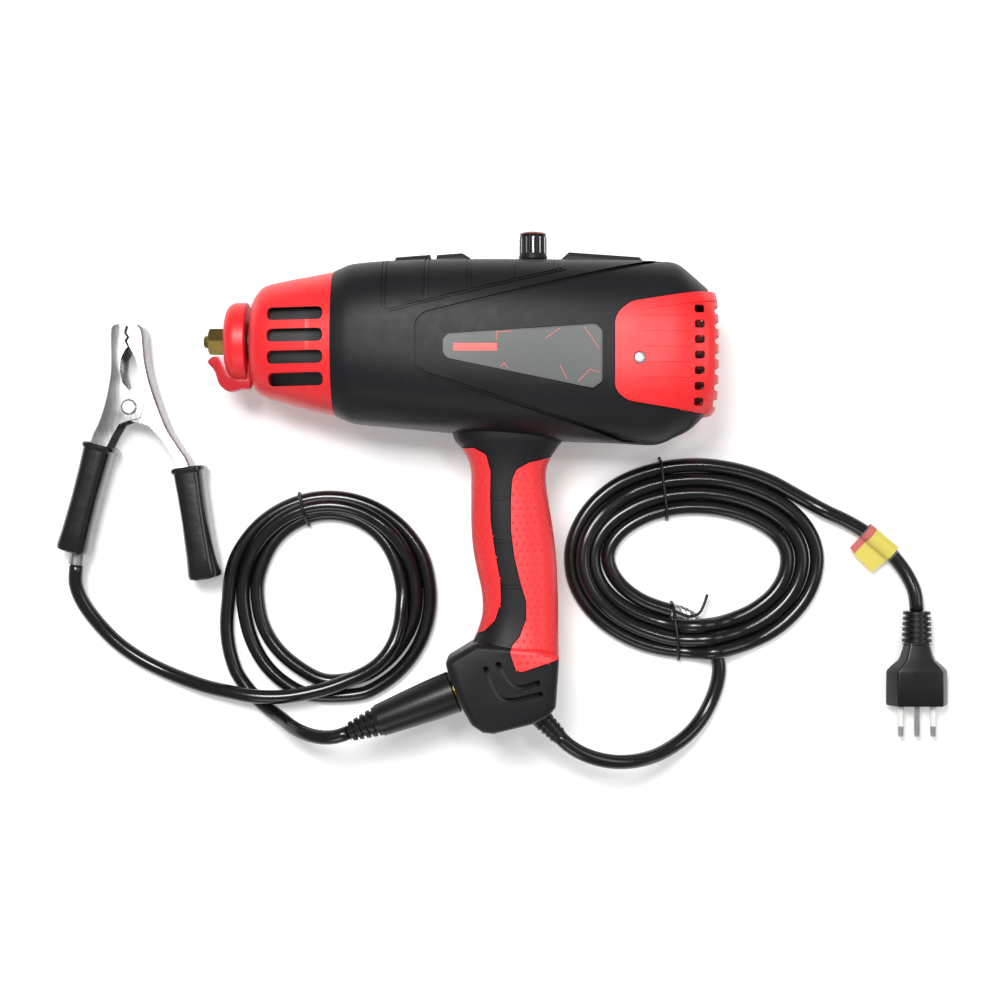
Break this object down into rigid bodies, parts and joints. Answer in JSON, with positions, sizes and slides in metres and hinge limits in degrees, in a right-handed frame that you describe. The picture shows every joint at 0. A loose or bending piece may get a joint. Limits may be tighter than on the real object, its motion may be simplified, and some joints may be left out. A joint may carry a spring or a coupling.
{
  "type": "handheld arc welder",
  "caption": "Pistol-shaped handheld arc welder with a red slotted nose, a brass electrode collet, a plugged-in earth lead with a spring clamp and a coiled mains cord.",
  "frame": {"origin": "on the surface that the welder lies on, under the middle of the welder without its cords and what is on them", "axes": "+X to the welder's rear (the grille), +Y to its top (the current knob), +Z to its left side, which faces up; it lies on its right side"},
  "size_m": [0.5246, 0.3073, 0.096],
  "materials": {
    "housing_black": "fine-grained black moulding",
    "nose_red": "satin red moulding",
    "grip_red": "soft-touch red elastomer",
    "wing_red": "slightly translucent dark red",
    "plate_grey": "dark printed plate without text",
    "brass": "machined",
    "screw_steel": "bright",
    "zinc_plate": "bright zinc-plated pressed steel",
    "spring_steel": "drawn wire",
    "copper": null,
    "aluminium": "extruded",
    "board_green": "glass-epoxy board",
    "ferrite": null,
    "dark_plastic": "moulded",
    "cap_brown": "glossy",
    "black_rubber": "moulded",
    "handle_dip": "glossy vinyl sleeve",
    "cable_jacket": "glossy cable jacket",
    "tag_yellow": "printed tag in a clear sleeve",
    "pin_sleeve": "insulated pin"
  },
  "bodies": {
    "welder": {"bus_capacitor_1": "dark_plastic", "bus_capacitor_2": "dark_plastic", "cable_lug": "zinc_plate", "clamp_arm_fixed": "zinc_plate", "clamp_handle_fixed": "handle_dip", "clamp_rivet": "zinc_plate", "clamp_spring": "spring_steel", "collet_insulator": "dark_plastic", "collet_nut": "brass", "cord_gland": "black_rubber", "cord_tag": "tag_yellow", "cord_tie_lower": "black_rubber", "cord_tie_upper": "black_rubber", "earth_cord_coil": "cable_jacket", "earth_cord_lead": "cable_jacket", "earth_cord_tail": "cable_jacket", "earth_cord_tie": "cable_jacket", "electrode_collet": "brass", "fan_frame": "dark_plastic", "front_grip_left": "grip_red", "front_grip_right": "grip_red", "grille_screw_left": "screw_steel", "grille_screw_right": "screw_steel", "ground_socket": "brass", "heat_sink": "aluminium", "left_shell": "housing_black", "main_board": "board_green", "mains_cord_coil": "cable_jacket", "mains_cord_lead": "cable_jacket", "mains_cord_tail": "cable_jacket", "name_plate_left": "plate_grey", "name_plate_right": "plate_grey", "nose_cone": "nose_red", "output_busbar": "copper", "output_choke": "copper", "plug_body": "black_rubber", "plug_pin_front": "pin_sleeve", "plug_pin_middle": "screw_steel", "plug_pin_rear": "pin_sleeve", "potentiometer": "dark_plastic", "potentiometer_nut": "screw_steel", "rear_grille": "nose_red", "rear_grip_left": "grip_red", "rear_grip_right": "grip_red", "right_shell": "housing_black", "shell_screw_1": "screw_steel", "shell_screw_2": "screw_steel", "shell_screw_3": "screw_steel", "shell_screw_4": "screw_steel", "transformer_coil": "copper", "transformer_core": "ferrite"},
    "knob": {"adjust_knob": "housing_black", "knob_cap": "cap_brown", "knob_spindle": "screw_steel"},
    "collar": {"clamp_ring": "wing_red"},
    "fan": {"fan_rotor": "dark_plastic"},
    "ground_plug": {"ground_plug_sleeve": "black_rubber", "ground_plug_pin": "brass"},
    "clamp_lever": {"clamp_arm_moving": "zinc_plate", "clamp_handle_moving": "handle_dip"}
  },
  "joints": [
    {"name": "knob_turn", "type": "hinge", "parent": "welder", "child": "knob", "pos_m": [0.0426, 0.1357, 0.048], "axis": [0, 1, 0], "range_deg": [-135, 135]},
    {"name": "collar_turn", "type": "hinge", "parent": "welder", "child": "collar", "pos_m": [-0.1255, 0.0792, 0.048], "axis": [1, 0, 0], "range_deg": [-90, 0]},
    {"name": "fan_spin", "type": "hinge", "parent": "welder", "child": "fan", "pos_m": [0.116, 0.072, 0.048], "axis": [1, 0, 0], "continuous": true},
    {"name": "clamp_jaw", "type": "hinge", "parent": "welder", "child": "clamp_lever", "pos_m": [-0.1923, 0.0434, 0.014], "axis": [0, 0, 1], "range_deg": [-30, 0], "stiffness_Nm_per_rad": 2, "springref_deg": 28.65},
    {"name": "ground_plug_twist", "type": "hinge", "parent": "welder", "child": "ground_plug", "pos_m": [-0.0015, -0.1196, 0.048], "axis": [-0.9318, -0.363, 0], "range_deg": [-60, 0]}
  ]
}
